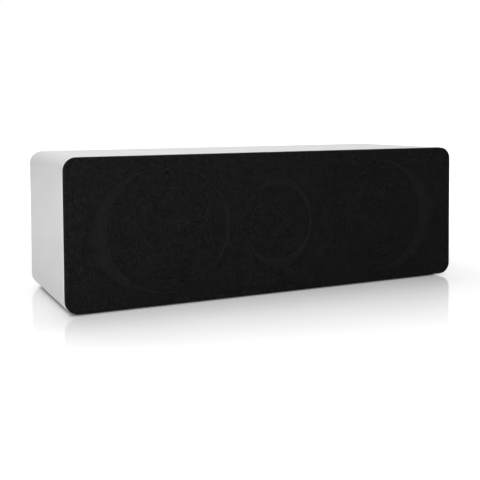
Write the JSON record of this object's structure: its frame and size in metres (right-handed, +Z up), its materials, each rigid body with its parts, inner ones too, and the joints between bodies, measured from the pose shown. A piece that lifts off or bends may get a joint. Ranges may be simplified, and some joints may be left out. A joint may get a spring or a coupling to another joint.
{
  "type": "center channel speaker",
  "caption": "Long low loudspeaker box with rounded edges, a full-width pull-off cloth grille, woofers either side of a tweeter, a rear reflex port and binding posts.",
  "frame": {"origin": "middle of the footprint, on the floor under the feet", "axes": "+X along the width to the right as seen from the front, -Y out of the grille, +Z up"},
  "size_m": [0.52, 0.185, 0.172],
  "materials": {
    "white_sleeve": "satin white foil over board",
    "black_board": "matt black foil over board",
    "raw_board": "bare fibreboard",
    "foot_rubber": "matt",
    "frame_board": "matt black paint",
    "grille_cloth": "fine black knit",
    "black_plastic": "satin",
    "basket_metal": "black powder coat",
    "surround_rubber": "matt",
    "cone_paper": "coated fibre",
    "cap_plastic": "satin",
    "spider_cloth": "resin-dipped weave",
    "copper": "enamelled wire",
    "steel": "zinc plated",
    "ferrite": "ground ferrite",
    "black_steel": "black oxide",
    "dome_fabric": "coated silk",
    "brass": "gold plated",
    "fibre_board": "laminate",
    "red_plastic": "satin",
    "bright_steel": "zinc plated",
    "capacitor_film": "wrapped film",
    "resistor_ceramic": "cement",
    "lead_sheath": "soft sheath",
    "wadding": "loose fibre"
  },
  "bodies": {
    "cabinet": {"cabinet_sleeve": "white_sleeve", "front_baffle": "black_board", "rear_panel": "black_board", "brace_left": "raw_board", "brace_right": "raw_board", "rubber_feet": "foot_rubber", "grille_sockets": "foot_rubber", "tweeter_faceplate": "black_plastic", "port_tube": "black_plastic", "terminal_cup": "black_plastic", "woofer_left_basket": "basket_metal", "woofer_right_basket": "basket_metal", "woofer_left_surround": "surround_rubber", "woofer_right_surround": "surround_rubber", "woofer_left_spider": "spider_cloth", "woofer_right_spider": "spider_cloth", "crossover_coils": "copper", "woofer_left_top_plate": "steel", "woofer_right_top_plate": "steel", "woofer_left_yoke": "steel", "woofer_right_yoke": "steel", "tweeter_top_plate": "steel", "tweeter_yoke": "steel", "woofer_left_magnet": "ferrite", "woofer_right_magnet": "ferrite", "tweeter_magnet": "ferrite", "woofer_left_screws": "black_steel", "woofer_right_screws": "black_steel", "tweeter_screws": "black_steel", "terminal_screws": "black_steel", "solder_tabs": "brass", "red_post_stud": "brass", "black_post_stud": "brass", "terminal_nuts": "brass", "tag_boards": "fibre_board", "crossover_board": "fibre_board", "crossover_screws": "bright_steel", "crossover_standoffs": "bright_steel", "crossover_capacitors": "capacitor_film", "crossover_resistors": "resistor_ceramic", "woofer_leads": "lead_sheath", "tweeter_lead": "lead_sheath", "input_leads": "lead_sheath", "wadding": "wadding"},
    "grille": {"grille_frame": "frame_board", "grille_cloth": "grille_cloth", "grille_pegs": "black_plastic"},
    "left_diaphragm": {"woofer_left_cone": "cone_paper", "woofer_left_dust_cap": "cap_plastic", "woofer_left_voice_coil": "copper"},
    "right_diaphragm": {"woofer_right_cone": "cone_paper", "woofer_right_dust_cap": "cap_plastic", "woofer_right_voice_coil": "copper"},
    "tweeter_diaphragm": {"tweeter_dome": "dome_fabric", "tweeter_voice_coil": "copper"},
    "red_insert": {"red_post_insert": "brass"},
    "red_cap": {"red_post_cap": "red_plastic"},
    "black_insert": {"black_post_insert": "brass"},
    "black_cap": {"black_post_cap": "black_plastic"}
  },
  "joints": [
    {"name": "grille_pull", "type": "slide", "parent": "cabinet", "child": "grille", "axis": [0, -1, 0], "range_m": [0, 0.06]},
    {"name": "left_woofer_travel", "type": "slide", "parent": "cabinet", "child": "left_diaphragm", "axis": [0, -1, 0], "range_m": [-0.003, 0.003], "stiffness_N_per_m": 1000, "deforming": ["woofer_left_surround", "woofer_left_spider"]},
    {"name": "right_woofer_travel", "type": "slide", "parent": "cabinet", "child": "right_diaphragm", "axis": [0, -1, 0], "range_m": [-0.003, 0.003], "stiffness_N_per_m": 1000, "deforming": ["woofer_right_surround", "woofer_right_spider"]},
    {"name": "tweeter_travel", "type": "slide", "parent": "cabinet", "child": "tweeter_diaphragm", "axis": [0, -1, 0], "range_m": [-0.0003, 0.0003], "stiffness_N_per_m": 2000, "deforming": ["tweeter_dome"]},
    {"name": "red_post_travel", "type": "slide", "parent": "cabinet", "child": "red_insert", "axis": [0, 1, 0], "range_m": [0, 0.004]},
    {"name": "red_post_turn", "type": "hinge", "parent": "red_insert", "child": "red_cap", "pos_m": [0.165, 0.08, 0.087], "axis": [0, 1, 0], "range_deg": [0, 1440]},
    {"name": "black_post_travel", "type": "slide", "parent": "cabinet", "child": "black_insert", "axis": [0, 1, 0], "range_m": [0, 0.004]},
    {"name": "black_post_turn", "type": "hinge", "parent": "black_insert", "child": "black_cap", "pos_m": [0.135, 0.08, 0.087], "axis": [0, 1, 0], "range_deg": [0, 1440]}
  ],
  "couplings": [
    {"joint": "red_post_turn", "follows": "red_post_travel", "rad_per_m": 6283.2},
    {"joint": "black_post_turn", "follows": "black_post_travel", "rad_per_m": 6283.2}
  ]
}
